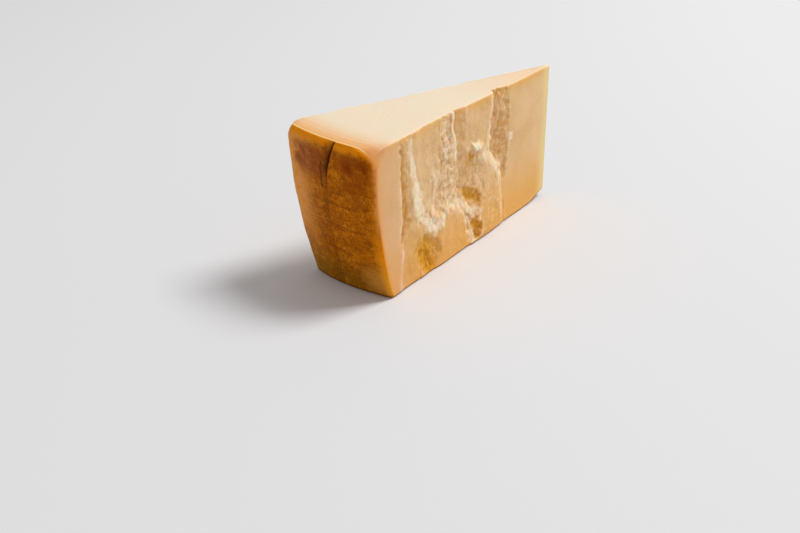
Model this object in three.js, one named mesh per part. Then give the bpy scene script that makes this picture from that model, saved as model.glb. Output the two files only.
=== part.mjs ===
// A wedge of aged hard cheese with its natural rind, part knife-cut and part split from a wheel.
// Millimetres, +Z up, standing on the flat side of the wheel. +X runs from the rind to the tip
// and the split face looks along -Y. The origin is under the middle of the bounding box.

import * as THREE from "three";
import { mergeVertices } from "three/addons/utils/BufferGeometryUtils.js";

// Wedge
const HEIGHT = 92.5;
const LENGTH = 211; // from the tip to the furthest part of the rind
const TIP_WIDTH = 2.4;
const HALF_ANGLE = 10.1; // between each cut face and the wedge's middle line, in degrees
const BASE_LEAN = 2.8; // how much less the far face opens at the base, in degrees
const EDGE_WEAR = 0.6; // how far the edges are rubbed back
const TIP_LIFT = 5; // the broken lower corner of the tip: its height and its length
const TIP_LIFT_LENGTH = 21;

// Rind, which bulges outwards as the side of a wheel does
const WHEEL_RADIUS = 170;
const WHEEL_CENTRE_Y = -13; // the wedge was cut a little askew of the wheel's middle
const BULGE_HEIGHT = 80;
const BASE_TUCK = 13.4; // how far the rind draws in from the bulge down to the base
const BASE_SKEW = 0.08; // how much more of that there is for each millimetre towards the split face
const SHOULDER_LENGTH = 12; // the sunk upper edge of the rind
const SHOULDER_DROP = 0.8;
const SHOULDER_POWER = 1.3;
const SPLIT_CORNER = 13; // the broken upper corners of the rind, along each of their edges
const FAR_CORNER = 8;
const SPLIT_CORNER_SOFT = 2; // how gently those breaks begin
const FAR_CORNER_SOFT = 0.8;

// Crack in the rind, from its upper end downwards
const CRACK = [
  { z: 92, y: -9, half: 0.4, depth: 1 },
  { z: 82, y: -5, half: 0.8, depth: 2.4 },
  { z: 75, y: -3, half: 0.7, depth: 2.4 },
  { z: 69, y: -2.4, half: 0.4, depth: 0 },
];
const CRACK_REACH = 30; // the grid's middle columns close in on the crack over this length

// Steps of the surface along the wedge, across it and up it, and the width of the rows at its edges
const STEPS_ALONG = 60;
const STEPS_ACROSS = 8;
const STEPS_UP = 28;
const EDGE_ROW = 1.6;

// Broken grain: the width of a crumb, how far the crumbs stand in and out, and how round they are
const CRUMB_SIZE = 9;
const CRUMB_DEPTH = 1;
const CRUMB_FALL = 1.6;
const CRAG_FADE = 14; // the crags die away over this length at the tip
const BASE_CALM = 0.5; // and down to this share at the base, over this height
const BASE_CALM_HEIGHT = 7;

// Plates, hollows and lumps of the two faces. Each is painted over those before it. An outline's
// points are millimetres back from the tip and up from the base. The level is how far its middle
// stands out of the cut plane, the slope how that changes towards the rind and upwards where it
// does, the edge half the width of its border, and the crumb how broken it is.
const SPLIT_FACE = [
  // the torn valley beside the knife-cut strip, the bright facet past its ridge and the smooth band
  { level: -0.5, edge: 2, crumb: 0.5,
    outline: [[184, 92], [172, 92], [172, 84], [177, 80], [184, 84]] },
  { level: -1.2, slope: [-0.14, 0.03], edge: 2, crumb: 0.25,
    outline: [[184, 86], [176, 82], [175, 70], [172, 58], [168, 46], [165, 38], [174, 34], [182, 31]] },
  { level: -0.9, slope: [0.1, -0.03], edge: 3.2, crumb: 0.3,
    outline: [[177, 84], [170, 90], [166, 74], [162, 62], [157, 50], [152, 38], [165, 37], [168, 46],
      [175, 70]] },
  { level: -1.4, slope: [0.02, 0], edge: 3.5, crumb: 0.12,
    outline: [[168, 95], [141, 95], [140, 72], [145, 56], [144, 40], [152, 38], [157, 50], [162, 62],
      [166, 76]] },
  // the crumbs and the groove behind them, the smooth plate with its crest and the groove behind that
  { level: -1.5, edge: 4, crumb: 0.9,
    outline: [[142, 95], [127, 95], [121, 66], [116, 58], [116, 38], [138, 33], [146, 44], [146, 56],
      [140, 72]] },
  { level: -1.8, slope: [-0.22, 0], edge: 1.5, crumb: 0.35,
    outline: [[126.5, 95], [113, 95], [110, 60], [120, 60]] },
  { level: -0.4, edge: 2, crumb: 0.1,
    outline: [[113, 95], [75, 95], [76, 82], [79, 70], [82, 62], [95, 58], [112, 61]] },
  { level: -0.8, slope: [0.2, 0], edge: 1.4, crumb: 0.1,
    outline: [[80, 95], [73, 95], [75, 82], [78, 70], [82, 60], [88, 60], [84, 72]] },
  { level: -2.9, slope: [-0.25, 0], edge: 1.2, crumb: 0.55,
    outline: [[75, 95], [57, 95], [57, 60], [60, 32], [63, 30], [66, 42], [73, 49], [81, 56], [79, 70],
      [76, 82]] },
  // the lump that bulges below the plate, its upper and lower shoulders and the ground behind it
  { level: 1.3, slope: [0.02, -0.02], edge: 2, crumb: 0.25,
    outline: [[97, 64], [88, 62], [80, 56], [67, 42], [63, 28], [60, 10], [57, -4], [104, -4], [98, 18],
      [100, 44]] },
  { level: 0.4, slope: [0.2, -0.19], edge: 1.6, crumb: 0.15,
    outline: [[91, 62], [80, 56], [67, 42], [63, 34], [68, 30], [72, 38], [84, 51], [92, 56]] },
  { level: 0.3, slope: [0.28, -0.05], edge: 1.4, crumb: 0.1,
    outline: [[64, 34], [62, 26], [60, 10], [57, -4], [63, -4], [66, 10], [68, 26], [69, 34]] },
  { level: -1, slope: [-0.12, 0], edge: 5, crumb: 0.5,
    outline: [[118, 60], [99, 60], [92, 48], [90, 26], [103, 20], [120, 36]] },
  // the low lobe and the low plate, the hollow between them and the shelves above them
  { level: -0.8, edge: 0.9, crumb: 0.08,
    outline: [[183, -4], [182, 28], [176, 36], [168, 38.5], [162, 37], [158, 32], [163, 26], [162, -4]] },
  { level: -1.3, slope: [-0.06, 0], edge: 4.5, crumb: 0.4,
    outline: [[163, 22], [159, 28], [150, 25], [140, 20], [138, 11], [143, 4], [152, 1], [160, 8]] },
  { level: -2.3, slope: [-0.1, 0.05], edge: 3.4, crumb: 0.5,
    outline: [[161, 20], [157, 19], [153, 11], [150, 4], [154, 3], [159, 10]] },
  { level: 0.5, edge: 2.5, crumb: 0.1,
    outline: [[140, 17], [128, 24], [118, 30], [111, 21], [105, 8], [101, -4], [141, -4]] },
  { level: -0.4, slope: [0, -0.2], edge: 3, crumb: 0.8,
    outline: [[163, 38], [157, 38], [148, 32], [138, 30], [134, 24], [142, 22], [150, 26], [158, 33]] },
  { level: -0.4, slope: [0, -0.2], edge: 3.2, crumb: 0.6,
    outline: [[133, 36], [114, 37], [105, 29], [96, 24], [98, 17], [106, 19], [117, 29]] },
  // a crumb that hangs on the plate over a pit, and the pits under the shelf with the crumbs between them
  { level: -1.4, edge: 1.8, crumb: 0.5,
    outline: [[108, 61], [101, 61], [102, 54], [108, 55]] },
  { level: 1.6, slope: [0, -0.1], edge: 1.2, crumb: 0.3,
    outline: [[105, 67], [97, 66.5], [95, 62], [103, 62]] },
  { level: -1.7, slope: [-0.05, 0], edge: 2.2, crumb: 0.7,
    outline: [[112, 38.5], [103, 35], [93, 31.5], [95, 28.5], [101, 30], [108, 34]] },
  { level: 0.2, edge: 1.8, crumb: 0.8,
    outline: [[109, 19], [104, 18], [100, 9], [94, 3], [99, 1], [105, 8]] },
  { level: -1.4, edge: 2.4, crumb: 0.9,
    outline: [[102, 16], [97, 16], [92, 11], [95, 7], [99, 8]] },
];
const FAR_FACE = [
  { level: -1.5, slope: [0.12, 0], edge: 2.2, crumb: 0.35,
    outline: [[190, 95], [176, 95], [170, 70], [164, 48], [172, 40], [186, 56]] },
  { level: -0.9, slope: [-0.1, 0.02], edge: 2.4, crumb: 0.3,
    outline: [[176, 95], [168, 95], [160, 70], [154, 46], [164, 44], [170, 70]] },
  { level: -1.6, edge: 4, crumb: 1,
    outline: [[150, 95], [118, 95], [112, 70], [104, 50], [108, 30], [126, 24], [146, 34], [154, 60]] },
  { level: -1, slope: [0.02, 0], edge: 3, crumb: 0.12,
    outline: [[118, 95], [92, 95], [88, 70], [90, 52], [104, 46], [112, 70]] },
  { level: -1.7, slope: [0.12, 0], edge: 1.6, crumb: 0.4,
    outline: [[92, 95], [74, 95], [70, 70], [64, 40], [72, 36], [84, 50], [88, 70]] },
  { level: 0.9, slope: [0.03, -0.02], edge: 2.4, crumb: 0.35,
    outline: [[120, 28], [104, 34], [84, 46], [70, 34], [62, 12], [58, -4], [118, -4]] },
  { level: 0.5, edge: 2.5, crumb: 0.1,
    outline: [[176, 30], [158, 40], [146, 34], [140, 14], [138, -4], [178, -4]] },
  { level: -2.2, slope: [0.05, 0], edge: 3.5, crumb: 0.4,
    outline: [[140, 24], [130, 26], [122, 18], [124, 4], [134, 0], [140, 8]] },
  { level: -0.4, slope: [0, -0.2], edge: 2.8, crumb: 0.8,
    outline: [[150, 40], [140, 34], [128, 30], [126, 24], [138, 24], [150, 32]] },
];

const { clamp, degToRad, lerp, smoothstep } = THREE.MathUtils;

// A repeatable number from 0 to 1 for a cell of the crumb lattice.
function cellValue(column, row, seed) {
  const wave = Math.sin(column * 127.1 + row * 311.7 + seed * 74.7) * 43758.5453;
  return wave - Math.floor(wave);
}

// Height of the broken grain, from about -1 to 1: rounded crumbs with creases between them.
function crumbHeight(s, z) {
  const column = Math.floor(s / CRUMB_SIZE);
  const row = Math.floor(z / CRUMB_SIZE);
  let height = -Infinity;
  for (let i = column - 1; i <= column + 1; i += 1) {
    for (let j = row - 1; j <= row + 1; j += 1) {
      const acrossCrumb = s / CRUMB_SIZE - i - cellValue(i, j, 1);
      const upCrumb = z / CRUMB_SIZE - j - cellValue(i, j, 2);
      const fall = CRUMB_FALL * (acrossCrumb ** 2 + upCrumb ** 2);
      height = Math.max(height, cellValue(i, j, 5) - fall);
    }
  }
  return 2 * height - 1;
}

// Distance from a point to an outline, negative inside it.
function outlineDistance(outline, s, z) {
  let nearest = Infinity;
  let inside = false;
  outline.forEach(([s1, z1], index) => {
    const [s0, z0] = outline.at(index - 1);
    const along = ((s - s0) * (s1 - s0) + (z - z0) * (z1 - z0)) / ((s1 - s0) ** 2 + (z1 - z0) ** 2);
    const share = clamp(along, 0, 1);
    nearest = Math.min(nearest, Math.hypot(s - lerp(s0, s1, share), z - lerp(z0, z1, share)));
    if (z0 > z !== z1 > z && s < s0 + ((z - z0) / (z1 - z0)) * (s1 - s0)) inside = !inside;
  });
  return inside ? -nearest : nearest;
}

// How far a face stands out of its cut plane at a distance from the tip and a height.
function relief(plates, s, z) {
  let level = 0;
  let crumb = 0;
  for (const plate of plates) {
    const cover = 1 - smoothstep(outlineDistance(plate.outline, s, z), -plate.edge, plate.edge);
    const middleS = plate.outline.reduce((sum, point) => sum + point[0], 0) / plate.outline.length;
    const middleZ = plate.outline.reduce((sum, point) => sum + point[1], 0) / plate.outline.length;
    const [towardsRind, upwards] = plate.slope ?? [0, 0];
    const surface = plate.level + towardsRind * (s - middleS) + upwards * (z - middleZ);
    level = lerp(level, surface, cover);
    crumb = lerp(crumb, plate.crumb, cover);
  }
  const calm = lerp(BASE_CALM, 1, smoothstep(z, 0, BASE_CALM_HEIGHT));
  return (level + crumb * CRUMB_DEPTH * crumbHeight(s, z)) * smoothstep(s, 0, CRAG_FADE) * calm;
}

// Distance from the tip to the rind at a height and a sideways place.
function rindReach(y, z) {
  const below = Math.max(BULGE_HEIGHT - z, 0) / BULGE_HEIGHT;
  const tuck = (BASE_TUCK - BASE_SKEW * y) * below ** 2;
  return LENGTH - tuck - (y - WHEEL_CENTRE_Y) ** 2 / (2 * WHEEL_RADIUS);
}

// A step's place between two edges that are so far apart. A narrow row runs along each edge, and
// the edges themselves are worn back.
function stepPlace(step, steps, size, row, wear) {
  if (step === 0) return wear;
  if (step === steps) return size - wear;
  return lerp(row, size - row, (step - 1) / (steps - 2));
}

// The crack's place, half width and depth at a height.
function crackAt(z) {
  const below = CRACK.findIndex((end) => end.z < z);
  if (below === 0) return CRACK[0];
  if (below < 0) return CRACK.at(-1);
  const [upper, lower] = CRACK.slice(below - 1, below + 1);
  const share = (z - lower.z) / (upper.z - lower.z);
  const between = (key) => lerp(lower[key], upper[key], share);
  return { y: between("y"), half: between("half"), depth: between("depth") };
}

// Distance of a column from the split face. Towards the rind the middle columns close in on the crack.
function columnPlace(across, width, crackPlace, crackHalf, closing, wear) {
  const column = width / STEPS_ACROSS;
  const even = stepPlace(across, STEPS_ACROSS, width, column, Math.min(wear, column / 2));
  const aside = across - STEPS_ACROSS / 2;
  const outer = Math.max(Math.abs(aside) - 1, 0) / (STEPS_ACROSS / 2 - 1);
  const beside = crackPlace + clamp(aside, -1, 1) * crackHalf;
  const close = lerp(beside, aside < 0 ? 0 : width, outer);
  return outer === 1 ? even : lerp(even, close, closing);
}

// What a value has over zero, turning smoothly from none to all of it.
function softExcess(value, soft) {
  return soft * Math.log1p(Math.exp(value / soft));
}

// A point of the wedge for a grid step along it from the rind, across it and up it.
function wedgePoint(along, across, up) {
  const ends = [along % STEPS_ALONG, across % STEPS_ACROSS, up % STEPS_UP];
  const wear = ends.filter((end) => end === 0).length > 1 ? EDGE_WEAR : 0;
  const back = 1 - stepPlace(along, STEPS_ALONG, LENGTH, EDGE_ROW, wear) / LENGTH;
  const rise = stepPlace(up, STEPS_UP, HEIGHT, EDGE_ROW, wear) / HEIGHT;
  const spread = Math.tan(degToRad(HALF_ANGLE));
  const farSpread = Math.tan(degToRad(HALF_ANGLE - BASE_LEAN * (1 - rise)));
  const crack = crackAt(rise * HEIGHT);
  const closing = smoothstep(back * LENGTH, LENGTH - CRACK_REACH, LENGTH);

  // the distance from the tip, with the column placed on an even wedge
  const half = back * LENGTH * spread;
  const evenY = columnPlace(across, 2 * half, crack.y + half, crack.half, closing, wear) - half;
  const s = back * rindReach(evenY, rise * HEIGHT);
  const fromRind = rindReach(evenY, HEIGHT) - s;
  const shoulder = Math.max(1 - fromRind / SHOULDER_LENGTH, 0) ** SHOULDER_POWER;
  const low = TIP_LIFT * Math.max(1 - s / TIP_LIFT_LENGTH, 0);
  const z = lerp(low, HEIGHT - SHOULDER_DROP * shoulder, rise);

  const splitY = -TIP_WIDTH / 2 - s * spread - relief(SPLIT_FACE, s, z);
  const farY = TIP_WIDTH / 2 + s * farSpread + relief(FAR_FACE, s, z);
  const width = farY - splitY;
  const fromSplit = columnPlace(across, width, crack.y - splitY, crack.half, closing, wear);
  const opening = along === 0 && across === STEPS_ACROSS / 2 ? crack.depth : 0;

  // the broken corners between the rind, the top and each cut face
  const fromCorner = fromRind + HEIGHT - z;
  const splitTrim = softExcess(SPLIT_CORNER - fromCorner - fromSplit, SPLIT_CORNER_SOFT) / 3;
  const farTrim = softExcess(FAR_CORNER - fromCorner - (width - fromSplit), FAR_CORNER_SOFT) / 3;
  const trim = splitTrim + farTrim;
  return new THREE.Vector3(opening + trim - s, splitY + fromSplit + splitTrim - farTrim, z - trim);
}

// The closed skin of the wedge, as a box grid whose points are moved onto the wedge.
function wedgeGeometry() {
  const grid = new THREE.BoxGeometry(1, 1, 1, STEPS_ALONG, STEPS_ACROSS, STEPS_UP);
  grid.deleteAttribute("normal");
  grid.deleteAttribute("uv");
  const skin = mergeVertices(grid);
  const points = skin.getAttribute("position");
  for (let i = 0; i < points.count; i += 1) {
    const along = Math.round((points.getX(i) + 0.5) * STEPS_ALONG);
    const across = Math.round((points.getY(i) + 0.5) * STEPS_ACROSS);
    const up = Math.round((points.getZ(i) + 0.5) * STEPS_UP);
    points.setXYZ(i, ...wedgePoint(along, across, up));
  }
  return skin;
}

function cheeseGeometry() {
  const geometry = wedgeGeometry();
  geometry.computeBoundingBox();
  const middle = geometry.boundingBox.getCenter(new THREE.Vector3());
  geometry.translate(-middle.x, -middle.y, -geometry.boundingBox.min.z);
  geometry.computeVertexNormals();
  return geometry;
}

const paste = new THREE.MeshStandardMaterial({ color: 0xe8c890, roughness: 0.55, metalness: 0 });
const cheese = new THREE.Mesh(cheeseGeometry(), paste);
cheese.name = "cheese";

const wedge = new THREE.Group();
wedge.add(cheese);

export default wedge;
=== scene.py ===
"""A wedge of aged hard cheese: waxy cream paste, crumbly where it split, under a leathery orange rind.

The wedge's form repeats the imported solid's named sizes on a finer grid, in millimetres and degrees, and
becomes metres where the mesh is made. s is the distance back from the tip, y the place sideways from
the tip, growing towards the far face, and z the height over the base.
"""

import math
from collections import namedtuple

import bpy
import numpy as np
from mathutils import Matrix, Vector


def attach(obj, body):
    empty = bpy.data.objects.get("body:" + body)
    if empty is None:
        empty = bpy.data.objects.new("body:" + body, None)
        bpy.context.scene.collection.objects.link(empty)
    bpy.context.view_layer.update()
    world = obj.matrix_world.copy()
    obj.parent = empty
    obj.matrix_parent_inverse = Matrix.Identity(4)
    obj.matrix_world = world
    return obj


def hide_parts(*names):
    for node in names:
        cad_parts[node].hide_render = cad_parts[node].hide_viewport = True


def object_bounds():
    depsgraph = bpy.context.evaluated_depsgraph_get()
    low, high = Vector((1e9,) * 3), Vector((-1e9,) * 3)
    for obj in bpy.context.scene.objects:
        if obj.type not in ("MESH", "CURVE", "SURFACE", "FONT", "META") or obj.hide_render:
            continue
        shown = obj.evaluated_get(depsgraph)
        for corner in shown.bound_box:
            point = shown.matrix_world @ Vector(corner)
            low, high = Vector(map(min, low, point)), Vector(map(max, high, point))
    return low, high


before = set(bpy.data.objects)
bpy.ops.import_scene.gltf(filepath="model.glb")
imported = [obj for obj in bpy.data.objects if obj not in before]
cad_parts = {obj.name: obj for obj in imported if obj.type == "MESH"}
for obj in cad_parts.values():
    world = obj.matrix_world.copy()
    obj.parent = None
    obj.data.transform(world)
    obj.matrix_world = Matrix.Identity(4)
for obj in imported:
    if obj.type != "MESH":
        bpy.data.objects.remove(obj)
cad_low, cad_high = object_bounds()

MM = 0.001
NODE = "cheese"

# Sizes of the wedge, from the frame and as the solid has them, and its number of axes
LENGTH = (cad_high.x - cad_low.x) / MM
HEIGHT = (cad_high.z - cad_low.z) / MM
TIP_WIDTH = 2.4
HALF_ANGLE = 10.1
BASE_LEAN = 2.8
TIP_LIFT = 5.0
TIP_LIFT_LENGTH = 21.0
WHEEL_RADIUS = 170.0
WHEEL_CENTRE_Y = -13.0
BULGE_HEIGHT = 80.0
BASE_TUCK = 13.4
BASE_SKEW = 0.08
SHOULDER_LENGTH = 12.0
SHOULDER_DROP = 0.8
SHOULDER_POWER = 1.3
SPLIT_CORNER = 13.0
FAR_CORNER = 8.0
SPLIT_CORNER_SOFT = 2.0
FAR_CORNER_SOFT = 0.8
CRAG_FADE = 14.0
AXES = 3

# The crack in the rind from its upper end downwards: height, sideways place, half width and depth, with
# the power of its profile, then how dark the painted shade beside it is, how wide and where it starts,
# and over what length and how evenly columns close in on the crack
CRACK_Z = (92.0, 82.0, 75.0, 69.0)
CRACK_Y = (-9.0, -5.0, -3.0, -2.4)
CRACK_HALF = (0.4, 0.8, 0.7, 0.4)
CRACK_DEPTH = (1.0, 2.4, 2.4, 0.0)
CRACK_CURVE = 0.6
CRACK_SIDE_SHADE = (0.4, 0.85, 0.85, 0.3)
SIDE_SHADE_WIDTH = 9.0
SIDE_SHADE_START = -1.0
CRACK_REACH = 30.0
CLOSE_STRAIGHT = 0.3
CLOSE_CUBED = 0.7

# Other marks in the rind, a fissure and two pressed lines: half width, depth and points (y, z)
RIND_MARKS = (
    (1.3, 0.5, ((1.9, 78.0), (2.6, 71.5), (1.4, 64.0))),
    (1.0, 0.24, ((12.0, 55.6), (-6.0, 55.0), (-29.0, 55.8))),
    (1.0, 0.28, ((12.0, 42.0), (-10.0, 42.4), (-30.0, 41.6))),
)

# Grid of the fine surface, with closer rows in the crags and at the edges
ALONG_STEPS = 256
ACROSS_STEPS = 48
UP_STEPS = 118
RIND_WIDTH = 75.0
CRAG_ZONE = (20.0, 158.0)
CRAG_ROW_DENSITY = 1.6
EDGE_ROW_DENSITY = 2.0
EDGE_ROW_REACH = 2.5
ROW_SAMPLES = 4001

# Rounding of its edges, more at the rind's split corner and along the rim, and how uneven that is
EDGE_ROUND = 1.2
EDGE_UNEVEN = 0.35
EDGE_UNEVEN_SIZE = 9.0
EDGE_UNEVEN_ACROSS = 40.0
CORNER_ROUND = 1.2
CORNER_REACH = 7.0
RIM_ROUND = 1.4
RIM_REACH = 5.0
ROUND_LIMIT = 0.45

# Fine relief as pairs of a width and a height: crumbs and lumps where the paste is broken, wandering of
# the plates' outlines, lumps of the rind, and waves of a whole face and of its torn parts
CRUMBS = ((6.5, 0.5), (3.4, 0.42), (1.8, 0.22))
LUMPS = ((12.0, 0.5), (6.0, 0.3))
WANDER = ((9.0, 1.6), (4.0, 0.9), (2.0, 0.4))
RIND_LUMPS = ((14.0, 0.35), (4.0, 0.12))
FACE_WAVES = ((26.0, 0.2), (9.0, 0.06))
BREAK_WAVES = ((12.0, 0.4), (5.0, 0.2))

# How round the crumbs are and how long on the slant, where they calm down, how ragged outlines are, and
# how far the tints of plates spread and vary
GRAIN_FALL = 1.6
CRUMB_STRETCH = 1.25
SLANT_SCALE = 1.4
CALM = 0.5
CALM_SIZE = 14.0
BASE_CALM = 0.5
BASE_CALM_HEIGHT = 7.0
RAGGED = 1.4
RAGGED_SIZE = 3.6
TINT_SPREAD = 2.6
TINT_PATCH = 4.0
TINT_UNEVEN = 0.4
HOLLOW_PASSES = 40

# Seeds of the noises, where the rind's noise starts sideways, and what each noise of a face adds to the
# face's own seed
SPLIT_SEED = 1
FAR_SEED = 301
RIND_SEED = 401
RIND_NOISE_START = 200.0
EDGE_SEED = 7
CALM_SEED = 20
UNEVEN_SEED = 30
PATCH_SEED = 40
UPWARD_SEED = 50
CHIP_SEED = 60
LUMP_SEED = 70
WAVE_SEED = 90
BREAK_SEED = 110

# Plates, hollows and lumps of the two faces, each painted over those before it: how far the middle
# stands out of the cut plane, its slope towards the rind and upwards, half the width of its border,
# how broken it is, how white (1) or golden (-1) it is painted, and its outline as points (s, z). White
# is paler crumbs with painted highlight on facets turned to the light, golden is painted shade in
# hollows with the glow of light through the paste
Plate = namedtuple("Plate", "level slope edge crumb white outline")
NO_SLOPE = (0.0, 0.0)
SPLIT_FACE = (
    # a chipped corner, the torn valley beside the cut strip, the facet past its ridge and the band
    Plate(-0.5, NO_SLOPE, 2.0, 0.5, -0.15, ((184, 92), (172, 92), (172, 84), (177, 80), (184, 84))),
    Plate(-1.2, (-0.14, 0.03), 1.0, 0.25, -0.5,
          ((184, 86), (176, 82), (175, 70), (172, 58), (168, 46), (165, 38), (174, 34), (182, 31))),
    Plate(-0.9, (0.1, -0.03), 3.2, 0.3, 0.8,
          ((177, 84), (170, 90), (166, 74), (162, 62), (157, 50), (152, 38), (165, 37), (168, 46),
           (175, 70))),
    Plate(-1.4, (0.02, 0.0), 3.5, 0.12, 0.2,
          ((168, 95), (141, 95), (140, 72), (145, 56), (144, 40), (152, 38), (157, 50), (162, 62),
           (166, 76))),
    # the crumbs with their ridge, a groove and a ridge, the smooth plate, its crest and a deep groove
    Plate(-1.5, NO_SLOPE, 4.0, 0.9, 0.3,
          ((142, 95), (127, 95), (121, 66), (116, 58), (116, 38), (138, 33), (146, 44), (146, 56),
           (140, 72))),
    Plate(-1.1, (0.2, 0.0), 1.3, 0.3, 0.55, ((148.5, 60), (145.5, 60), (143.5, 38), (147, 38))),
    Plate(-1.8, (-0.22, 0.0), 1.5, 0.35, -0.3, ((126.5, 95), (113, 95), (110, 60), (120, 60))),
    Plate(-0.9, (0.25, 0.0), 1.0, 0.2, 0.7, ((129.5, 95), (126.5, 95), (120, 62), (123, 62))),
    Plate(-0.4, NO_SLOPE, 2.0, 0.1, 0.05,
          ((113, 95), (75, 95), (76, 82), (79, 70), (82, 62), (95, 58), (112, 61))),
    Plate(-0.8, (0.2, 0.0), 1.4, 0.1, 0.15,
          ((80, 95), (73, 95), (75, 82), (78, 70), (82, 60), (88, 60), (84, 72))),
    Plate(-2.9, (-0.25, 0.0), 1.2, 0.55, -0.3,
          ((75, 95), (57, 95), (57, 60), (60, 32), (63, 30), (66, 42), (73, 49), (81, 56), (79, 70),
           (76, 82))),
    # the lump that bulges below the plate, its upper and lower shoulders and the ground behind it
    Plate(1.3, (0.02, -0.02), 2.0, 0.25, 0.1,
          ((97, 64), (88, 62), (80, 56), (67, 42), (63, 28), (60, 10), (57, -4), (104, -4), (98, 18),
           (100, 44))),
    Plate(0.4, (0.2, -0.19), 1.6, 0.15, 0.6,
          ((91, 62), (80, 56), (67, 42), (63, 34), (68, 30), (72, 38), (84, 51), (92, 56))),
    Plate(0.3, (0.28, -0.05), 1.4, 0.1, 0.35,
          ((64, 34), (62, 26), (60, 10), (57, -4), (63, -4), (66, 10), (68, 26), (69, 34))),
    Plate(-1.0, (-0.12, 0.0), 5.0, 0.5, -0.2,
          ((118, 60), (99, 60), (92, 48), (90, 26), (103, 20), (120, 36))),
    # the low lobe with its edge, the hollow beside it with its core, the low plate and the two shelves
    Plate(-0.8, NO_SLOPE, 0.9, 0.08, -0.3,
          ((183, -4), (182, 28), (176, 36), (168, 38.5), (162, 37), (158, 32), (163, 26), (162, -4))),
    Plate(-0.1, (0.3, 0.0), 0.7, 0.05, 0.6, ((183.5, -4), (183, 26), (181, 29), (181.5, -4))),
    Plate(-1.3, (-0.06, 0.0), 4.5, 0.4, -0.9,
          ((163, 22), (159, 28), (150, 25), (140, 20), (138, 11), (143, 4), (152, 1), (160, 8))),
    Plate(-2.3, (-0.1, 0.05), 3.4, 0.5, -1.7,
          ((161, 20), (157, 19), (153, 11), (150, 4), (154, 3), (159, 10))),
    Plate(0.5, NO_SLOPE, 2.5, 0.1, -0.05,
          ((140, 17), (128, 24), (118, 30), (111, 21), (105, 8), (101, -4), (141, -4))),
    Plate(-0.4, (0.0, -0.2), 3.0, 0.8, 0.95,
          ((163, 38), (157, 38), (148, 32), (138, 30), (134, 24), (142, 22), (150, 26), (158, 33))),
    Plate(-0.4, (0.0, -0.2), 3.2, 0.6, 0.75,
          ((133, 36), (114, 37), (105, 29), (96, 24), (98, 17), (106, 19), (117, 29))),
    # a pit under a crumb that hangs on the plate, two pits with crumbs between them, a chip by the tip
    Plate(-1.4, NO_SLOPE, 1.8, 0.5, -0.9, ((108, 61), (101, 61), (102, 54), (108, 55))),
    Plate(1.6, (0.0, -0.1), 1.2, 0.3, 0.9, ((105, 67), (97, 66.5), (95, 62), (103, 62))),
    Plate(-1.7, (-0.05, 0.0), 2.2, 0.7, -1.1,
          ((112, 38.5), (103, 35), (93, 31.5), (95, 28.5), (101, 30), (108, 34))),
    Plate(0.2, NO_SLOPE, 1.8, 0.8, 0.8, ((109, 19), (104, 18), (100, 9), (94, 3), (99, 1), (105, 8))),
    Plate(-1.4, NO_SLOPE, 2.4, 0.9, -1.1, ((102, 16), (97, 16), (92, 11), (95, 7), (99, 8))),
    Plate(0.6, (0.1, 0.0), 1.0, 0.3, 0.9, ((54.5, 61), (51, 61), (50.5, 57.5), (54, 57))),
)
FAR_FACE = (
    # a valley, a facet, crumbs, a plate, a groove, a lump, a low plate, a hollow and a shelf
    Plate(-1.5, (0.12, 0.0), 2.2, 0.35, -0.5,
          ((190, 95), (176, 95), (170, 70), (164, 48), (172, 40), (186, 56))),
    Plate(-0.9, (-0.1, 0.02), 2.4, 0.3, 0.5,
          ((176, 95), (168, 95), (160, 70), (154, 46), (164, 44), (170, 70))),
    Plate(-1.6, NO_SLOPE, 4.0, 1.0, 0.15,
          ((150, 95), (118, 95), (112, 70), (104, 50), (108, 30), (126, 24), (146, 34), (154, 60))),
    Plate(-1.0, (0.02, 0.0), 3.0, 0.12, 0.1,
          ((118, 95), (92, 95), (88, 70), (90, 52), (104, 46), (112, 70))),
    Plate(-1.7, (0.12, 0.0), 1.6, 0.4, -0.45,
          ((92, 95), (74, 95), (70, 70), (64, 40), (72, 36), (84, 50), (88, 70))),
    Plate(0.9, (0.03, -0.02), 2.4, 0.35, 0.1,
          ((120, 28), (104, 34), (84, 46), (70, 34), (62, 12), (58, -4), (118, -4))),
    Plate(0.5, NO_SLOPE, 2.5, 0.1, -0.05,
          ((176, 30), (158, 40), (146, 34), (140, 14), (138, -4), (178, -4))),
    Plate(-2.2, (0.05, 0.0), 3.5, 0.4, -1.0,
          ((140, 24), (130, 26), (122, 18), (124, 4), (134, 0), (140, 8))),
    Plate(-0.4, (0.0, -0.2), 2.8, 0.8, 0.8,
          ((150, 40), (140, 34), (128, 30), (126, 24), (138, 24), (150, 32))),
)

# Camera at the photograph's place: its offset from the foot of the tip, its tilt and turn, its lens
CAMERA_FROM_TIP = (-607.4, -418.5, 280.05)
CAMERA_PITCH = 65.3
CAMERA_TURN = -47.7
LENS_MM = 50.0
SENSOR_MM = 36.0

# Light and floor, in metres and watts
KEY_DIRECTION = (0.4475, -0.269, 0.85)
KEY_DISTANCE = 4.0
KEY_SIZE = 1.44
KEY_WATTS = 110.0
SKY_COLOUR = (1.0, 1.0, 1.0, 1.0)
SKY_STRENGTH = 0.4
FLOOR_REACH = 6.0
FLOOR_COLOUR = (0.8, 0.8, 0.81, 1.0)
FLOOR_ROUGHNESS = 0.9


def lerp(a, b, share):
    return a + (b - a) * share


def smoothstep(x, low, high):
    t = np.clip((x - low) / (high - low), 0.0, 1.0)
    return t * t * (3.0 - 2.0 * t)


def soft_excess(value, soft):
    """What a value has over zero, turning smoothly from none to all of it."""
    return soft * np.logaddexp(0.0, value / soft)


# Noise on the faces and the rind

def cell_value(column, row, seed):
    """A repeatable number from 0 to 1 for a cell of a lattice."""
    wave = np.sin(column * 127.1 + row * 311.7 + seed * 74.7) * 43758.5453
    return wave - np.floor(wave)


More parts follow.
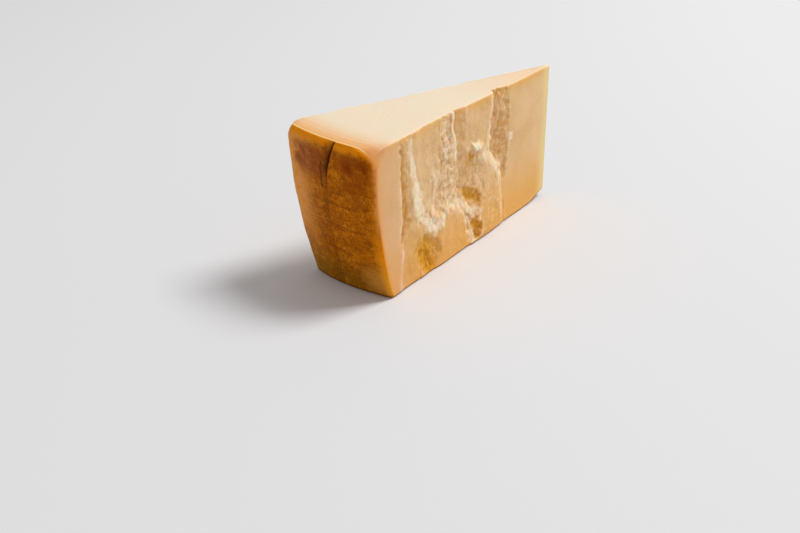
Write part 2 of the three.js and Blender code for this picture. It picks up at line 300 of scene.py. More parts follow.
def soft_noise(s, z, size, seed):
    """Smooth noise from -1 to 1 with bumps of about this size."""
    u, v = s / size, z / size
    column, row = np.floor(u), np.floor(v)
    fu, fv = smoothstep(u - column, 0.0, 1.0), smoothstep(v - row, 0.0, 1.0)
    low = lerp(cell_value(column, row, seed), cell_value(column + 1, row, seed), fu)
    high = lerp(cell_value(column, row + 1, seed), cell_value(column + 1, row + 1, seed), fu)
    return 2.0 * lerp(low, high, fv) - 1.0


def layered_noise(layers, s, z, seed):
    """Smooth noises of several widths and heights, one on the other."""
    return sum(depth * soft_noise(s, z, size, seed + size) for size, depth in layers)


def grain_noise(s, z, size, seed):
    """Noise from about -1 to 1 made of rounded grains with creases between them."""
    u, v = s / size, z / size
    column, row = np.floor(u), np.floor(v)
    height = np.full(s.shape, -np.inf)
    for i in (-1, 0, 1):
        for j in (-1, 0, 1):
            cell = column + i, row + j
            across = u - cell[0] - cell_value(*cell, seed + 1)
            up = v - cell[1] - cell_value(*cell, seed + 2)
            height = np.maximum(height, cell_value(*cell, seed + 5) - GRAIN_FALL * (across**2 + up**2))
    return 2.0 * height - 1.0


# The relief of the two faces

def line_distance(line, u, v):
    """Distance from each point to a line of straight stretches."""
    nearest = np.full(u.shape, np.inf)
    for (u0, v0), (u1, v1) in zip(line, line[1:]):
        along = ((u - u0) * (u1 - u0) + (v - v0) * (v1 - v0)) / ((u1 - u0) ** 2 + (v1 - v0) ** 2)
        share = np.clip(along, 0.0, 1.0)
        nearest = np.minimum(nearest, np.hypot(u - lerp(u0, u1, share), v - lerp(v0, v1, share)))
    return nearest


def outline_distance(outline, u, v):
    """Distance from each point to a closed outline, negative inside it."""
    inside = np.zeros(u.shape, bool)
    for (u0, v0), (u1, v1) in zip(outline, outline[1:] + outline[:1]):
        if v0 != v1:
            inside ^= ((v0 > v) != (v1 > v)) & (u < u0 + (v - v0) / (v1 - v0) * (u1 - u0))
    nearest = line_distance(outline + outline[:1], u, v)
    return np.where(inside, -nearest, nearest)


def relief(plates, s, z, seed):
    """How far a face stands out of its cut plane, how broken it is there, and how white or golden it is
    painted: paler crumbs with painted highlight, or painted shade.
    """
    s_wander = s + layered_noise(WANDER, s, z, seed)
    z_wander = z + layered_noise(WANDER, s, z, seed + UPWARD_SEED)
    patchy = TINT_SPREAD * soft_noise(s, z, TINT_PATCH, seed + PATCH_SEED)
    chips = RAGGED * grain_noise(s, z, RAGGED_SIZE, seed + CHIP_SEED)
    level, crumb, white, torn = (np.zeros(s.shape) for _ in range(4))
    for plate in plates:
        middle_s, middle_z = np.mean(plate.outline, axis=0)
        distance = outline_distance(plate.outline, s_wander, z_wander) + plate.crumb * chips
        cover = 1.0 - smoothstep(distance, -plate.edge, plate.edge)
        surface = plate.level + plate.slope[0] * (s - middle_s) + plate.slope[1] * (z - middle_z)
        level = lerp(level, surface, cover)
        torn = np.maximum(torn, cover)
        blur = plate.edge + TINT_SPREAD
        blurred_cover = 1.0 - smoothstep(distance + patchy, -blur, blur)
        crumb = lerp(crumb, plate.crumb, blurred_cover)
        white = lerp(white, plate.white, blurred_cover)
    white *= 1.0 + TINT_UNEVEN * soft_noise(s, z, TINT_PATCH / 2.0, seed + UNEVEN_SEED)
    crumb *= 1.0 + CALM * soft_noise(s, z, CALM_SIZE, seed + CALM_SEED)

    slant, across = (s_wander + z_wander) / CRUMB_STRETCH, s_wander - z_wander
    broken = sum(
        depth * grain_noise(slant, across, SLANT_SCALE * size, seed + size) for size, depth in CRUMBS
    )
    broken += layered_noise(LUMPS, s, z, seed + LUMP_SEED)
    waves = layered_noise(FACE_WAVES, s, z, seed + WAVE_SEED)
    waves += torn * layered_noise(BREAK_WAVES, s, z, seed + BREAK_SEED)
    fade = smoothstep(s, 0.0, CRAG_FADE) * lerp(BASE_CALM, 1.0, smoothstep(z, 0.0, BASE_CALM_HEIGHT))
    return (level + crumb * broken + waves) * fade, crumb * fade, white


def hollows(out):
    """How far each point of a face stands out from the face around it."""
    sheet = out.reshape(ALONG_STEPS + 1, UP_STEPS + 1)
    blurred = sheet
    for _ in range(HOLLOW_PASSES):
        padded = np.pad(blurred, 1, mode="edge")
        rows = (padded[:-2, :] + 2.0 * padded[1:-1, :] + padded[2:, :]) / 4.0
        blurred = (rows[:, :-2] + 2.0 * rows[:, 1:-1] + rows[:, 2:]) / 4.0
    return (sheet - blurred).ravel()


# The rind

def rind_reach(y, z):
    """Distance from the tip to the rind at a sideways place and a height."""
    below = np.maximum(BULGE_HEIGHT - z, 0.0) / BULGE_HEIGHT
    tuck = (BASE_TUCK - BASE_SKEW * y) * below**2
    return LENGTH - tuck - (y - WHEEL_CENTRE_Y) ** 2 / (2.0 * WHEEL_RADIUS)


def crack_at(z, values):
    return np.interp(z, CRACK_Z[::-1], values[::-1])


def rind_opening(y, z, crack_y):
    """Depth of the crack and the other marks at a place on the rind."""
    aside = np.abs(y - crack_y) / crack_at(z, CRACK_HALF)
    opening = crack_at(z, CRACK_DEPTH) * np.maximum(1.0 - aside, 0.0) ** CRACK_CURVE
    for half_width, depth, line in RIND_MARKS:
        opening = np.maximum(opening, depth * (1.0 - line_distance(line, y, z) / half_width))
    return opening


def crack_side_shade(y, z, crack_y):
    """How dark the painted shade beside the crack is, on its far side only."""
    fading = smoothstep(y - crack_y, SIDE_SHADE_WIDTH, 0.0)
    return crack_at(z, CRACK_SIDE_SHADE) * fading * (y > crack_y + SIDE_SHADE_START)


def close_on_crack(share, crack_share, closing):
    """Moves columns towards the crack's own column as they near the rind."""
    side = 2.0 * share - 1.0
    pulled = side * (CLOSE_STRAIGHT + CLOSE_CUBED * side**2)
    close = crack_share + pulled * np.where(side < 0.0, crack_share, 1.0 - crack_share)
    return lerp(share, close, closing)


# The wedge's skin

def skin_of_box():
    """Grid steps of the points on a box grid's skin, and its faces as four point numbers each."""
    shape = (ALONG_STEPS + 1, ACROSS_STEPS + 1, UP_STEPS + 1)
    on_skin = np.ones(shape, bool)
    on_skin[1:-1, 1:-1, 1:-1] = False
    number = np.full(shape, -1)
    number[on_skin] = np.arange(on_skin.sum())
    sheets = []
    for axis in range(3):
        first, last = np.take(number, 0, axis), np.take(number, -1, axis)
        sheets += [first.T, last] if axis != 1 else [first, last.T]
    corners = [(g[:-1, :-1], g[1:, :-1], g[1:, 1:], g[:-1, 1:]) for g in sheets]
    faces = [np.stack(four, -1).reshape(-1, 4) for four in corners]
    return np.argwhere(on_skin).T, np.concatenate(faces)


def grid_rows(size, steps, close_zone=None):
    """Places of a grid's rows over a length, closer together towards both ends and in a zone."""
    fine = np.linspace(0.0, size, ROW_SAMPLES)
    ends = np.exp(-fine / EDGE_ROW_REACH) + np.exp((fine - size) / EDGE_ROW_REACH)
    density = 1.0 + EDGE_ROW_DENSITY * ends
    if close_zone:
        density += CRAG_ROW_DENSITY * ((fine > close_zone[0]) & (fine < close_zone[1]))
    travelled = np.cumsum(density)
    travelled -= travelled[0]
    return np.interp(np.linspace(0.0, travelled[-1], steps + 1), travelled, fine)


def round_edges(place, size, radius):
    """Moves points of a box's skin onto the same box with rounded edges."""
    radius = np.minimum(radius, ROUND_LIMIT * size.min(axis=0))
    inner = np.clip(place, radius, size - radius)
    out = place - inner
    return inner + out * radius / np.linalg.norm(out, axis=0)


def rounded_grid(steps, spread):
    """Where each point of the skin lies as shares of the way back from the tip, across and up."""
    along, across, up = steps
    from_rind = grid_rows(LENGTH, ALONG_STEPS, CRAG_ZONE)[along]
    height = grid_rows(HEIGHT, UP_STEPS)[up]
    share = grid_rows(RIND_WIDTH, ACROSS_STEPS)[across] / RIND_WIDTH

    width = TIP_WIDTH + 2.0 * spread * (LENGTH - from_rind)
    size = np.stack([np.full(width.shape, LENGTH), width, np.full(width.shape, HEIGHT)])
    uneven = soft_noise(from_rind, height + share * EDGE_UNEVEN_ACROSS, EDGE_UNEVEN_SIZE, EDGE_SEED)
    radius = EDGE_ROUND * (1.0 + EDGE_UNEVEN * uneven)
    radius += CORNER_ROUND * height / HEIGHT * np.exp(-(from_rind + share * width) / CORNER_REACH)
    radius += RIM_ROUND * np.exp(-(from_rind + HEIGHT - height) / RIM_REACH)
    place = round_edges(np.stack([from_rind, share * width, height]), size, radius)
    return 1.0 - place[0] / LENGTH, place[1] / width, place[2] / HEIGHT


def wedge_points(steps):
    """Places of the skin's points on the wedge, and what the material needs to know of each."""
    along, across, up = steps
    spread = math.tan(math.radians(HALF_ANGLE))
    back, across_share, rise = rounded_grid(steps, spread)

    # the distance from the tip, with the column placed on an even wedge
    crack_y = crack_at(rise * HEIGHT, CRACK_Y)
    closing = smoothstep(back * LENGTH, LENGTH - CRACK_REACH, LENGTH)
    half = back * LENGTH * spread + TIP_WIDTH / 2.0
    column = close_on_crack(across_share, (crack_y + half) / (2.0 * half), closing)
    even_y = (2.0 * column - 1.0) * half
    reach = rind_reach(even_y, rise * HEIGHT)
    s = back * reach
    from_rind = rind_reach(even_y, HEIGHT) - s
    shoulder = np.maximum(1.0 - from_rind / SHOULDER_LENGTH, 0.0) ** SHOULDER_POWER
    low = TIP_LIFT * np.maximum(1.0 - s / TIP_LIFT_LENGTH, 0.0)
    z = lerp(low, HEIGHT - SHOULDER_DROP * shoulder, rise)

    # the two faces and the column between them
    split_out, split_crumb, split_white_highlight_shade = relief(SPLIT_FACE, s, z, SPLIT_SEED)
    far_out, far_crumb, far_white_highlight_shade = relief(FAR_FACE, s, z, FAR_SEED)
    far_spread = np.tan(np.radians(HALF_ANGLE - BASE_LEAN * (1.0 - rise)))
    split_y = -TIP_WIDTH / 2.0 - s * spread - split_out
    far_y = TIP_WIDTH / 2.0 + s * far_spread + far_out
    width = far_y - split_y
    column = close_on_crack(across_share, (crack_y - split_y) / width, closing)
    from_split = column * width
    y = split_y + from_split

    # the marks and the lumps of the rind
    on_rind = along == 0
    opening = np.where(on_rind, rind_opening(y, z, crack_y), 0.0)
    lumps = np.where(on_rind, layered_noise(RIND_LUMPS, y + RIND_NOISE_START, z, RIND_SEED), 0.0)
    s = s - opening + lumps

    # the broken corners between the rind, the top and each cut face, cut back by a third along each axis
    from_corner = from_rind + HEIGHT - z
    split_trim = soft_excess(SPLIT_CORNER - from_corner - from_split, SPLIT_CORNER_SOFT) / AXES
    far_trim = soft_excess(FAR_CORNER - from_corner - (width - from_split), FAR_CORNER_SOFT) / AXES
    s = s - split_trim - far_trim
    y = y + split_trim - far_trim
    z = z - split_trim - far_trim

    on_split, on_far = across == 0, across == ACROSS_STEPS
    hollow = np.zeros(s.shape)
    hollow[on_split] = hollows(split_out[on_split])
    hollow[on_far] = hollows(far_out[on_far])
    facts = {
        "from_tip": s,
        "rind_depth": reach - s - opening,
        "from_split": from_split,
        "crack": opening,
        "side_shade": crack_side_shade(y, z, crack_y),
        "crumb": np.where(on_split, split_crumb, np.where(on_far, far_crumb, 0.0)),
        "white": np.where(on_split, split_white_highlight_shade, np.where(on_far, far_white_highlight_shade, 0.0)),
        "hollow": hollow,
        "base_depth": z - low,
        "top": np.where(up == UP_STEPS, 1.0, 0.0),
    }
    return np.stack([-s, y, z], -1), facts


def tip_line():
    """The solid's tip, sideways, in metres."""
    solid = np.array([vertex.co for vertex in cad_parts[NODE].data.vertices])
    return solid[solid[:, 0] > solid[:, 0].max() - MM, 1].mean()


def cheese_mesh():
    steps, faces = skin_of_box()
    points, facts = wedge_points(steps)
    points = points * MM + np.array([cad_high.x, tip_y, 0.0])

    mesh = bpy.data.meshes.new("cheese_wedge")
    mesh.from_pydata(points, [], faces)
    for name, values in facts.items():
        mesh.attributes.new(name, "FLOAT", "POINT").data.foreach_set("value", values.astype(np.float32))
    mesh.shade_smooth()
    mesh.update()
    return mesh


# The material

# Sockets of a mix node, which go by number: its share, then from, to and result for numbers and colours,
# then how soft a speck's border is, and how close the rings under the rind are and how far they run on
MIX_SHARE = 0
NUMBER_FROM, NUMBER_TO, NUMBER_RESULT = 2, 3, 0
COLOUR_FROM, COLOUR_TO, COLOUR_RESULT = 6, 7, 2
SPECK_SOFT = 0.3
RING_SCALE = 0.5
RING_STRETCH = 0.02


def tone(red, green, blue):
    """A colour as it shows on a screen, 0 to 255, in the renderer's linear values."""
    shares = (value / 255.0 for value in (red, green, blue))
    linear = [v / 12.92 if v <= 0.04045 else ((v + 0.055) / 1.055) ** 2.4 for v in shares]
    return (*linear, 1.0)


class Shader:
    """Short calls for a material's nodes. A value is a number, a colour or another node's output."""

    def __init__(self, name):
        self.material = bpy.data.materials.new(name)
        self.material.use_nodes = True
        self.tree = self.material.node_tree
        self.surface = self.tree.nodes["Principled BSDF"]
        self.place = self.node("ShaderNodeTexCoord", {}).outputs["Object"]

    def node(self, kind, values, **settings):
        node = self.tree.nodes.new(kind)
        for name, setting in settings.items():
            setattr(node, name, setting)
        for socket, value in values.items():
            self.give(node.inputs[socket], value)
        return node

    def give(self, socket, value):
        if isinstance(value, bpy.types.NodeSocket):
            self.tree.links.new(value, socket)
        else:
            socket.default_value = value

    def fact(self, name):
        return self.node("ShaderNodeAttribute", {}, attribute_name=name).outputs["Fac"]

    def axes(self):
        """The place on the part along x, y and z, in millimetres."""
        scaled = self.node("ShaderNodeVectorMath", {0: self.place, "Scale": 1.0 / MM}, operation="SCALE")
        return self.node("ShaderNodeSeparateXYZ", {0: scaled.outputs[0]}).outputs

    def spread(self, sizes):
        """The place counted in bumps of these sizes in millimetres along x, y and z."""
        values = {0: self.place, 1: tuple(1.0 / (size * MM) for size in sizes)}
        return self.node("ShaderNodeVectorMath", values, operation="MULTIPLY").outputs[0]

    def noise(self, size, detail, seed):
        """Noise from 0 to 1 with bumps of this size, or of these sizes along x, y and z."""
        sizes = size if isinstance(size, tuple) else (size,) * 3
        values = {"Vector": self.spread(sizes), "W": seed, "Scale": 1.0, "Detail": detail}
        return self.node("ShaderNodeTexNoise", values, noise_dimensions="4D").outputs["Fac"]

    def rings(self, depth, sideways):
        """Noise from 0 to 1 in thin lines that follow the rind."""
        along_rind = self.product(sideways, RING_STRETCH)
        place = self.node("ShaderNodeCombineXYZ", {0: depth, 1: along_rind}).outputs[0]
        values = {"Vector": place, "Scale": RING_SCALE, "Detail": 3.0}
        return self.node("ShaderNodeTexNoise", values).outputs["Fac"]

    def specks(self, spacing, radius, share):
        """Round specks of up to this radius, in this share of cells this far apart."""
        values = {"Vector": self.spread((spacing,) * 3), "Scale": 1.0}
        cells = self.node("ShaderNodeTexVoronoi", values).outputs
        chance = self.node("ShaderNodeSeparateColor", {0: cells["Color"]}).outputs
        limit = self.math("MULTIPLY", self.ramp(chance[0], 1.0 - share, 1.0), radius / spacing)
        inside = self.math("SUBTRACT", limit, cells["Distance"])
        return self.ramp(inside, 0.0, SPECK_SOFT * radius / spacing)

    def math(self, operation, *values):
        return self.node("ShaderNodeMath", dict(enumerate(values)), operation=operation).outputs[0]

    def product(self, *values):
        result = values[0]
        for value in values[1:]:
            result = self.math("MULTIPLY", result, value)
        return result

    def scaled(self, value, times, plus):
        return self.math("MULTIPLY_ADD", value, times, plus)

    def without(self, value):
        """What is left of 1."""
        return self.math("SUBTRACT", 1.0, value)

    def ramp(self, value, low, high, most=1.0):
        """A smooth step from 0 at one value to the most at another."""
        values = {"Value": value, "From Min": low, "From Max": high, "To Max": most}
        return self.node("ShaderNodeMapRange", values, interpolation_type="SMOOTHSTEP").outputs[0]

    def zone(self, value, begin, full, fade, end):
        """1 between two values, falling smoothly to 0 outside them."""
        return self.product(self.ramp(value, begin, full), self.ramp(value, end, fade))

    def blend(self, share, start, end):
        """A number between two others."""
        values = {MIX_SHARE: share, NUMBER_FROM: start, NUMBER_TO: end}
        return self.node("ShaderNodeMix", values).outputs[NUMBER_RESULT]

    def mix(self, share, start, end):
        """A colour between two others."""
        values = {MIX_SHARE: share, COLOUR_FROM: start, COLOUR_TO: end}
        return self.node("ShaderNodeMix", values, data_type="RGBA").outputs[COLOUR_RESULT]

    def painted(self, colour, *coats):
        """A colour with others painted over it in turn, each with its share."""
        for share, coat in coats:
            colour = self.mix(share, colour, coat)
        return colour


# Colours of the paste and of the rind
PASTE = tone(238, 197, 147)
PASTE_DEEP = tone(226, 181, 126)
# painted light: the paste paler on the top, where the light falls strongest
PASTE_TOP_LIGHT = tone(255, 228, 201)
PASTE_ROSE = tone(226, 174, 132)
PASTE_BORDER = tone(238, 160, 72)
EDGE_GOLD = tone(236, 176, 88)
# painted bounce light: warm gold low on the cut faces
BOUNCE_GOLD = tone(238, 172, 84)
# painted glow of light through the thin tip
TIP_GLOW = tone(242, 218, 156)
# pale crumbs, also the painted highlight on ridges and on facets turned to the light
WHITE_AND_HIGHLIGHT = tone(255, 231, 200)
CRUMB_PIT = tone(206, 146, 66)
# painted shade in hollows and recesses
SHADE_TAN = tone(216, 157, 77)
# painted shade in hollows, golden with the glow of light through the paste, darker in their cores
SHADE_GOLD = tone(232, 163, 52)
DEEP_SHADE_GOLD = tone(206, 140, 26)
CRYSTAL = tone(255, 244, 226)
RIND_BAND = tone(246, 172, 98)
# painted highlight along the rind's top edge
RIM_HIGHLIGHT = tone(255, 212, 152)
# the rind's orange rim, brightened by a painted glow of light through it
RIND_RIM_GLOW = tone(255, 152, 12)
RIND_BODY = tone(212, 121, 2)
RIND_LIGHT = tone(242, 152, 30)
RIND_BROWN = tone(151, 75, 2)
# painted contact shade along the rind's foot
RIND_FOOT_SHADE = tone(144, 80, 6)
# painted glow of light through the rind's edge beside the split face, paler lower down
RIND_EDGE_GLOW = tone(250, 168, 40)
RIND_TAN = tone(214, 142, 56)
RIND_SMUDGE = tone(164, 84, 34)
RIND_SCORCH = tone(146, 58, 0)
RIND_OLIVE = tone(160, 114, 16)
RIND_PINK = tone(255, 170, 84)
# painted shade beside the crack
SIDE_SHADE_BROWN = tone(98, 46, 2)
# painted shade inside the crack and the other marks
CRACK_SHADE = tone(104, 50, 8)

# Where the paste's tints begin and where they are full: heights, ways back from the tip, how broken or
# hollow the face is, how white or golden and how far that wavers, and depths under the rind. Several are
# painted light: light on the top, bounce low down, glow at the tip, shade in hollows, highlight on ridges
TOP_EDGE_HEIGHT = (84.0, 92.0)
BOUNCE_HEIGHT = (48.0, 4.0)
RIM_HEIGHT = (74.0, 90.0)
TIP_GLOW_REACH = (16.0, 1.0)
TOP_LIGHT_REACH = (20.0, 110.0)
SMOOTH_CRUMB = (0.3, 0.1)
HOLLOW_SHADE_FROM = (-0.15, -1.2)
RIDGE_HIGHLIGHT_FROM = (0.15, 0.9)
SHADE_TAN_FROM = (-0.1, -0.7)
SHADE_GOLD_FROM = (-0.4, -1.2)
DEEP_SHADE_GOLD_FROM = (-0.9, -1.7)
WHITE_HIGHLIGHT_FROM = (0.1, 1.0)
PALE_FROM = (-0.6, 0.0)
TINT_FUZZ = 0.5
ROSE_DEPTH = (30.0, 12.0)
BAND_DEPTH = (28.0, 2.0)
RING_DEPTH = (18.0, 6.0)
UNDER_RIM_DEPTH = (9.0, 1.0)
BORDER_DEPTH = (4.5, 1.5)
RIM_HIGHLIGHT_DEPTH = (2.9, 2.2)

# Where the rind covers the paste: depths at the top, at the sides and over the base, and the ragged
# border by the split face, which is straight from a height downwards
RIND_TOP_DEPTH = (2.1, 1.3)
RIND_SIDE_DEPTH = (2.9, 1.0)
RIND_BASE_DEPTH = (1.5, 0.8)
RAGGED_BORDER = (2.1, 4.7)
RAGGED_BORDER_WIDTH = 4.0
STRAIGHT_BORDER_HEIGHT = (58.0, 38.0)

# Where the rind's tints lie, in height and sideways, with the painted glow at its rim and split edge,
# the painted contact shade at its foot and the painted shade in its crack
OLIVE_HEIGHT = (28.0, 6.0)
PINK_SIDE = (4.0, 28.0)
PINK_HEIGHT = (10.0, 45.0)
SMUDGE_HEIGHT = (60.0, 76.0, 81.0, 89.0)
SMUDGE_SIDE = (-4.0, 8.0, 25.0, 34.0)
SCORCH_SIDE = (-38.0, -31.0, -17.0, -9.0)
ROUGH_SIDE = (22.0, 2.0)
RIM_GLOW_HEIGHT = (90.5, 95.0)
RIM_RAGGED = 10.0
TAN_SIDE = (-14.0, -28.0)
TAN_HEIGHT = (26.0, 12.0)
EDGE_GLOW_SIDE = (-30.0, -35.5)
EDGE_GLOW_STRONG_HEIGHT = (52.0, 26.0)
EDGE_GLOW_PALE_HEIGHT = (34.0, 8.0)
FOOT_SHADE_HEIGHT = (3.0, 1.0)
CRACK_SHADE_DEPTH = (0.0, 0.5)

# How the surface takes light
SPECULAR = 0.03
SCATTER_RADIUS = (1.0, 0.5, 0.2)
SCATTER_SCALE = 1.5
RIND_SCATTER_LOSS = 0.7
ROUGHNESS = 0.42
ROUGHNESS_SPREAD = 0.2


def cut_paste(shader, height):
    """Cream paste as a knife leaves it: mottled and streaked, golden under the top edge, with painted
    golden bounce light low down and a painted glow of light through the thin tip.
    """
    mottles = shader.ramp(shader.noise(24.0, 3.0, 0.0), 0.3, 0.7)
    streaks = shader.ramp(shader.noise((5.0, 5.0, 70.0), 2.0, 3.0), 0.35, 0.75, 0.25)
    smooth = shader.ramp(shader.fact("crumb"), *SMOOTH_CRUMB)
    return shader.painted(
        PASTE,
        (mottles, PASTE_DEEP),
        (shader.product(streaks, smooth), PASTE_DEEP),
        (shader.ramp(height, *TOP_EDGE_HEIGHT, 0.6), EDGE_GOLD),
        # painted bounce light, golden and stronger towards the base
        (shader.ramp(height, *BOUNCE_HEIGHT, 0.85), BOUNCE_GOLD),
        # painted glow of light through the thin tip, yellow near its end
        (shader.ramp(shader.fact("from_tip"), *TIP_GLOW_REACH, 0.8), TIP_GLOW),
    )


def broken_paste(shader, colour):
    """The paste where it split: tan and gold painted shade in hollows, white on crumbs with painted
    highlight on ridges and lit facets, with pits.
    """
    crumb, hollow, white = shader.fact("crumb"), shader.fact("hollow"), shader.fact("white")
    wavering = shader.math("SUBTRACT", shader.noise((7.0, 7.0, 4.5), 3.0, 9.0), 0.5)
    fuzzy = shader.scaled(wavering, TINT_FUZZ, white)
    pale = shader.ramp(fuzzy, *PALE_FROM)
    pits = shader.ramp(shader.noise((6.5, 6.5, 4.5), 3.0, 7.0), 0.5, 0.34, 0.55)
    flecks = shader.ramp(shader.noise((4.4, 4.4, 2.8), 2.0, 5.0), 0.5, 0.62, 0.75)
    fine_mottles = shader.ramp(shader.noise((2.4, 2.4, 1.5), 3.0, 6.0), 0.45, 0.75, 0.25)
    return shader.painted(
        colour,
        # painted shade, tan, where plates are painted golden and where the face lies deeper than around
        # it
        (shader.ramp(fuzzy, *SHADE_TAN_FROM), SHADE_TAN),
        (shader.ramp(hollow, *HOLLOW_SHADE_FROM, 0.7), SHADE_TAN),
        # painted shade in hollows, golden with the glow of light through the paste
        (shader.ramp(fuzzy, *SHADE_GOLD_FROM), SHADE_GOLD),
        # pale crumbs and painted highlight on facets turned to the light
        (shader.ramp(fuzzy, *WHITE_HIGHLIGHT_FROM), WHITE_AND_HIGHLIGHT),
        (shader.product(crumb, pits), CRUMB_PIT),
        (shader.product(crumb, flecks, pale), WHITE_AND_HIGHLIGHT),
        # painted highlight on ridges that stand out from the face around them
        (shader.product(shader.ramp(hollow, *RIDGE_HIGHLIGHT_FROM, 0.5), pale), WHITE_AND_HIGHLIGHT),
        # painted deeper shade in the cores of the hollows
        (shader.ramp(fuzzy, *DEEP_SHADE_GOLD_FROM), DEEP_SHADE_GOLD),
        (fine_mottles, PASTE_DEEP),
    )


def paste_by_rind(shader, colour, sideways, height):
    """The paste with painted light on its top and its crystals, rosy and then orange towards the rind,
    with a painted highlight along the rind's top edge.
    """
    depth, top = shader.fact("rind_depth"), shader.fact("top")
    beside_top = shader.without(top)
    top_light = shader.scaled(shader.ramp(shader.fact("from_tip"), *TOP_LIGHT_REACH), 0.3, 0.55)
    crystals = shader.product(shader.specks(3.6, 0.5, 0.4), 0.7)
    band = shader.product(shader.ramp(depth, *BAND_DEPTH, 0.65), shader.scaled(top, 0.7, 0.3))
    rings = shader.ramp(shader.rings(depth, sideways), 0.4, 0.65, 0.5)
    under_rim = shader.scaled(shader.ramp(height, *RIM_HEIGHT), 0.5, 0.35)
    return shader.painted(
        colour,
        # painted light on the top, paler further back from the tip
        (shader.product(top, top_light), PASTE_TOP_LIGHT),
        (crystals, CRYSTAL),
        (shader.product(shader.ramp(depth, *ROSE_DEPTH, 0.45), beside_top), PASTE_ROSE),
        (band, RIND_BAND),
        (shader.product(rings, shader.ramp(depth, *RING_DEPTH), top), RIND_BAND),
        (shader.product(shader.ramp(depth, *UNDER_RIM_DEPTH), under_rim), RIND_BAND),
        (shader.product(shader.ramp(depth, *BORDER_DEPTH, 0.75), beside_top), PASTE_BORDER),
        # painted highlight where the rounded top edge of the rind meets the light
        (shader.product(shader.ramp(depth, *RIM_HIGHLIGHT_DEPTH), top), RIM_HIGHLIGHT),
    )


def rind_leather(shader, sideways, height):
    """Leathery rind: blotchy and grainy, olive at the foot, pink at the far side, with brown smudges."""
    blotches = shader.ramp(shader.noise(10.0, 4.0, 8.0), 0.35, 0.7, 0.6)
    pink = shader.product(shader.ramp(sideways, *PINK_SIDE), shader.ramp(height, *PINK_HEIGHT))
    lights = shader.ramp(shader.noise(5.0, 3.0, 21.0), 0.48, 0.68, 0.6)
    uneven = shader.ramp(shader.noise(9.0, 4.0, 2.0), 0.25, 0.6)
    smudged = shader.zone(height, *SMUDGE_HEIGHT)
    rough = shader.scaled(shader.ramp(sideways, *ROUGH_SIDE), 0.8, 0.2)
    creases = shader.ramp(shader.noise((14.0, 14.0, 1.6), 3.0, 15.0), 0.5, 0.68, 0.6)
    flecks = shader.ramp(shader.noise(3.6, 3.0, 22.0), 0.5, 0.68, 0.6)
    grains = shader.ramp(shader.noise(1.5, 3.0, 4.0), 0.46, 0.66, 0.75)
    return shader.painted(
        RIND_BODY,
        (blotches, RIND_BROWN),
        (shader.ramp(height, *OLIVE_HEIGHT, 0.8), RIND_OLIVE),
        (pink, RIND_PINK),
        (lights, RIND_LIGHT),
        (shader.product(smudged, shader.zone(sideways, *SMUDGE_SIDE), uneven), RIND_SMUDGE),
        (shader.product(smudged, shader.zone(sideways, *SCORCH_SIDE), uneven), RIND_SCORCH),
        (shader.product(creases, rough), RIND_BROWN),
        (shader.product(flecks, rough), RIND_BROWN),
        (shader.product(grains, rough), RIND_BROWN),
        (shader.product(shader.specks(2.4, 0.7, 0.6), rough, 0.6), RIND_SMUDGE),
    )


def rind_edges(shader, colour, sideways, height):
    """The rind with its orange rim and its orange edge beside the split face, both brightened by a
    painted glow of light through them, its foot darkened by painted contact shade, and painted shade in
    and beside its crack.
    """
    ragged = shader.scaled(shader.noise((7.0, 7.0, 14.0), 3.0, 17.0), RIM_RAGGED, height)
    tan = shader.product(shader.ramp(sideways, *TAN_SIDE), shader.ramp(height, *TAN_HEIGHT, 0.7))
    edge_glow_strength = shader.scaled(shader.ramp(height, *EDGE_GLOW_STRONG_HEIGHT), 0.5, 0.25)
    edge = shader.mix(shader.ramp(height, *EDGE_GLOW_PALE_HEIGHT), RIND_RIM_GLOW, RIND_EDGE_GLOW)
    return shader.painted(
        colour,
        # the orange rim under the top edge, brightened by a painted glow of light through it
        (shader.ramp(ragged, *RIM_GLOW_HEIGHT), RIND_RIM_GLOW),
        (tan, RIND_TAN),
        # the orange edge beside the split face with a painted glow of light through it, stronger lower
        # down
        (shader.product(shader.ramp(sideways, *EDGE_GLOW_SIDE), edge_glow_strength), edge),
        # painted contact shade along the rind's foot
        (shader.ramp(height, *FOOT_SHADE_HEIGHT, 0.8), RIND_FOOT_SHADE),
        # painted shade beside the crack, on its far side
        (shader.fact("side_shade"), SIDE_SHADE_BROWN),
        # painted shade inside the crack, the fissure and the pressed lines
        (shader.ramp(shader.fact("crack"), *CRACK_SHADE_DEPTH), CRACK_SHADE),
    )


def rind_share(shader, height):
    """How much of the surface is rind: crisp on the top, ragged beside the split face, and the base."""
    depth = shader.fact("rind_depth")
    tears = shader.noise(3.0, 3.0, 19.0)
    ragged_side = shader.scaled(tears, RAGGED_BORDER_WIDTH, shader.fact("from_split"))
    straight = shader.ramp(height, *STRAIGHT_BORDER_HEIGHT)
    border = shader.math("MAXIMUM", shader.ramp(ragged_side, *RAGGED_BORDER), straight)
    at_side = shader.product(shader.ramp(depth, *RIND_SIDE_DEPTH), border)
    at_rim = shader.blend(shader.fact("top"), at_side, shader.ramp(depth, *RIND_TOP_DEPTH))
    at_base = shader.ramp(shader.fact("base_depth"), *RIND_BASE_DEPTH)
    return shader.math("MAXIMUM", at_rim, at_base)


def bumps(shader, on_rind):
    """Grain where the paste is broken, knife strokes where it is smooth, and leather on the rind."""
    crumb = shader.fact("crumb")
    grain = shader.product(shader.noise(1.1, 4.0, 11.0), shader.scaled(crumb, 0.6, 0.25))
    smooth = shader.ramp(crumb, *SMOOTH_CRUMB, 0.06)
    strokes = shader.product(shader.noise((2.0, 2.0, 60.0), 2.0, 12.0), smooth)
    leather = shader.product(shader.noise(1.8, 4.0, 13.0), 1.3)
    height = shader.blend(on_rind, shader.math("ADD", grain, strokes), leather)
    return shader.node("ShaderNodeBump", {"Height": height, "Distance": MM}).outputs[0]


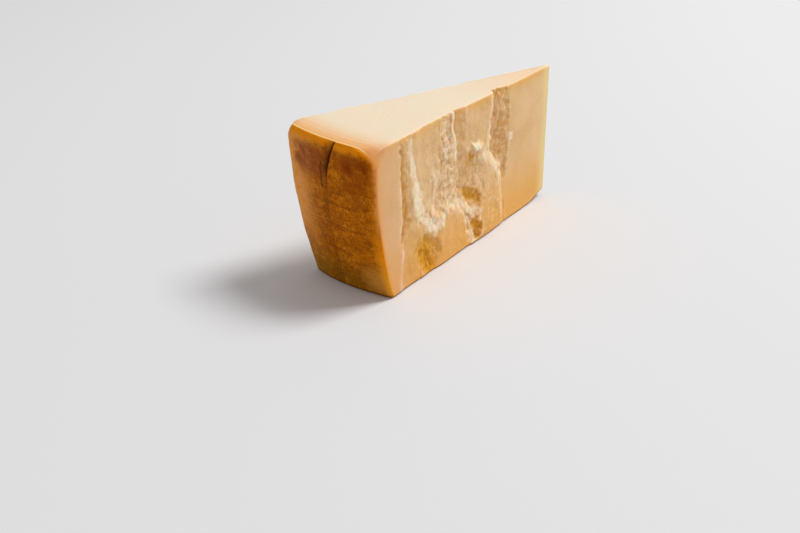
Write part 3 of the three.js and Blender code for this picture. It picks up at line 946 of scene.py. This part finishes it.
def cheese_material():
    shader = Shader("cheese")
    _, sideways, height = shader.axes()
    on_rind = rind_share(shader, height)
    paste = paste_by_rind(shader, broken_paste(shader, cut_paste(shader, height)), sideways, height)
    rind = rind_edges(shader, rind_leather(shader, sideways, height), sideways, height)
    roughness = shader.scaled(shader.noise(6.0, 3.0, 14.0), ROUGHNESS_SPREAD, ROUGHNESS)

    surface = shader.surface.inputs
    shader.give(surface["Base Color"], shader.mix(on_rind, paste, rind))
    shader.give(surface["Normal"], bumps(shader, on_rind))
    shader.give(surface["Roughness"], roughness)
    shader.give(surface["Subsurface Weight"], shader.without(shader.product(on_rind, RIND_SCATTER_LOSS)))
    surface["Specular IOR Level"].default_value = SPECULAR
    surface["Subsurface Radius"].default_value = SCATTER_RADIUS
    surface["Subsurface Scale"].default_value = SCATTER_SCALE * MM
    return shader.material


# The stage

def camera():
    data = bpy.data.cameras.new("camera")
    data.lens = LENS_MM
    data.sensor_width = SENSOR_MM
    view = bpy.data.objects.new("camera", data)
    view.location = (np.array([cad_high.x / MM, tip_y / MM, 0.0]) + CAMERA_FROM_TIP) * MM
    view.rotation_euler = (math.radians(CAMERA_PITCH), 0.0, math.radians(CAMERA_TURN))
    bpy.context.collection.objects.link(view)
    bpy.context.scene.camera = view


def floor():
    mesh = bpy.data.meshes.new("floor")
    corners = [(-FLOOR_REACH, -FLOOR_REACH, 0.0), (FLOOR_REACH, -FLOOR_REACH, 0.0)]
    corners += [(FLOOR_REACH, FLOOR_REACH, 0.0), (-FLOOR_REACH, FLOOR_REACH, 0.0)]
    mesh.from_pydata(corners, [], [(0, 1, 2, 3)])
    plane = bpy.data.objects.new("floor", mesh)
    bpy.context.collection.objects.link(plane)
    shader = Shader("floor")
    shader.surface.inputs["Base Color"].default_value = FLOOR_COLOUR
    shader.surface.inputs["Roughness"].default_value = FLOOR_ROUGHNESS
    mesh.materials.append(shader.material)


def key_light():
    data = bpy.data.lights.new("key", "AREA")
    data.energy = KEY_WATTS
    data.size = KEY_SIZE
    light = bpy.data.objects.new("key", data)
    light.location = Vector(KEY_DIRECTION).normalized() * KEY_DISTANCE
    light.rotation_euler = light.location.to_track_quat("Z", "Y").to_euler()
    bpy.context.collection.objects.link(light)


def sky():
    world = bpy.data.worlds.new("sky")
    world.use_nodes = True
    background = world.node_tree.nodes["Background"]
    background.inputs["Color"].default_value = SKY_COLOUR
    background.inputs["Strength"].default_value = SKY_STRENGTH
    bpy.context.scene.world = world


tip_y = tip_line()
cheese = bpy.data.objects.new("cheese_wedge", cheese_mesh())
bpy.context.collection.objects.link(cheese)
cheese.data.materials.append(cheese_material())
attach(cheese, "root")
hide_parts(NODE)

camera()
floor()
key_light()
sky()
bpy.context.scene.view_settings.view_transform = "Standard"
bpy.context.scene.cycles.use_denoising = True
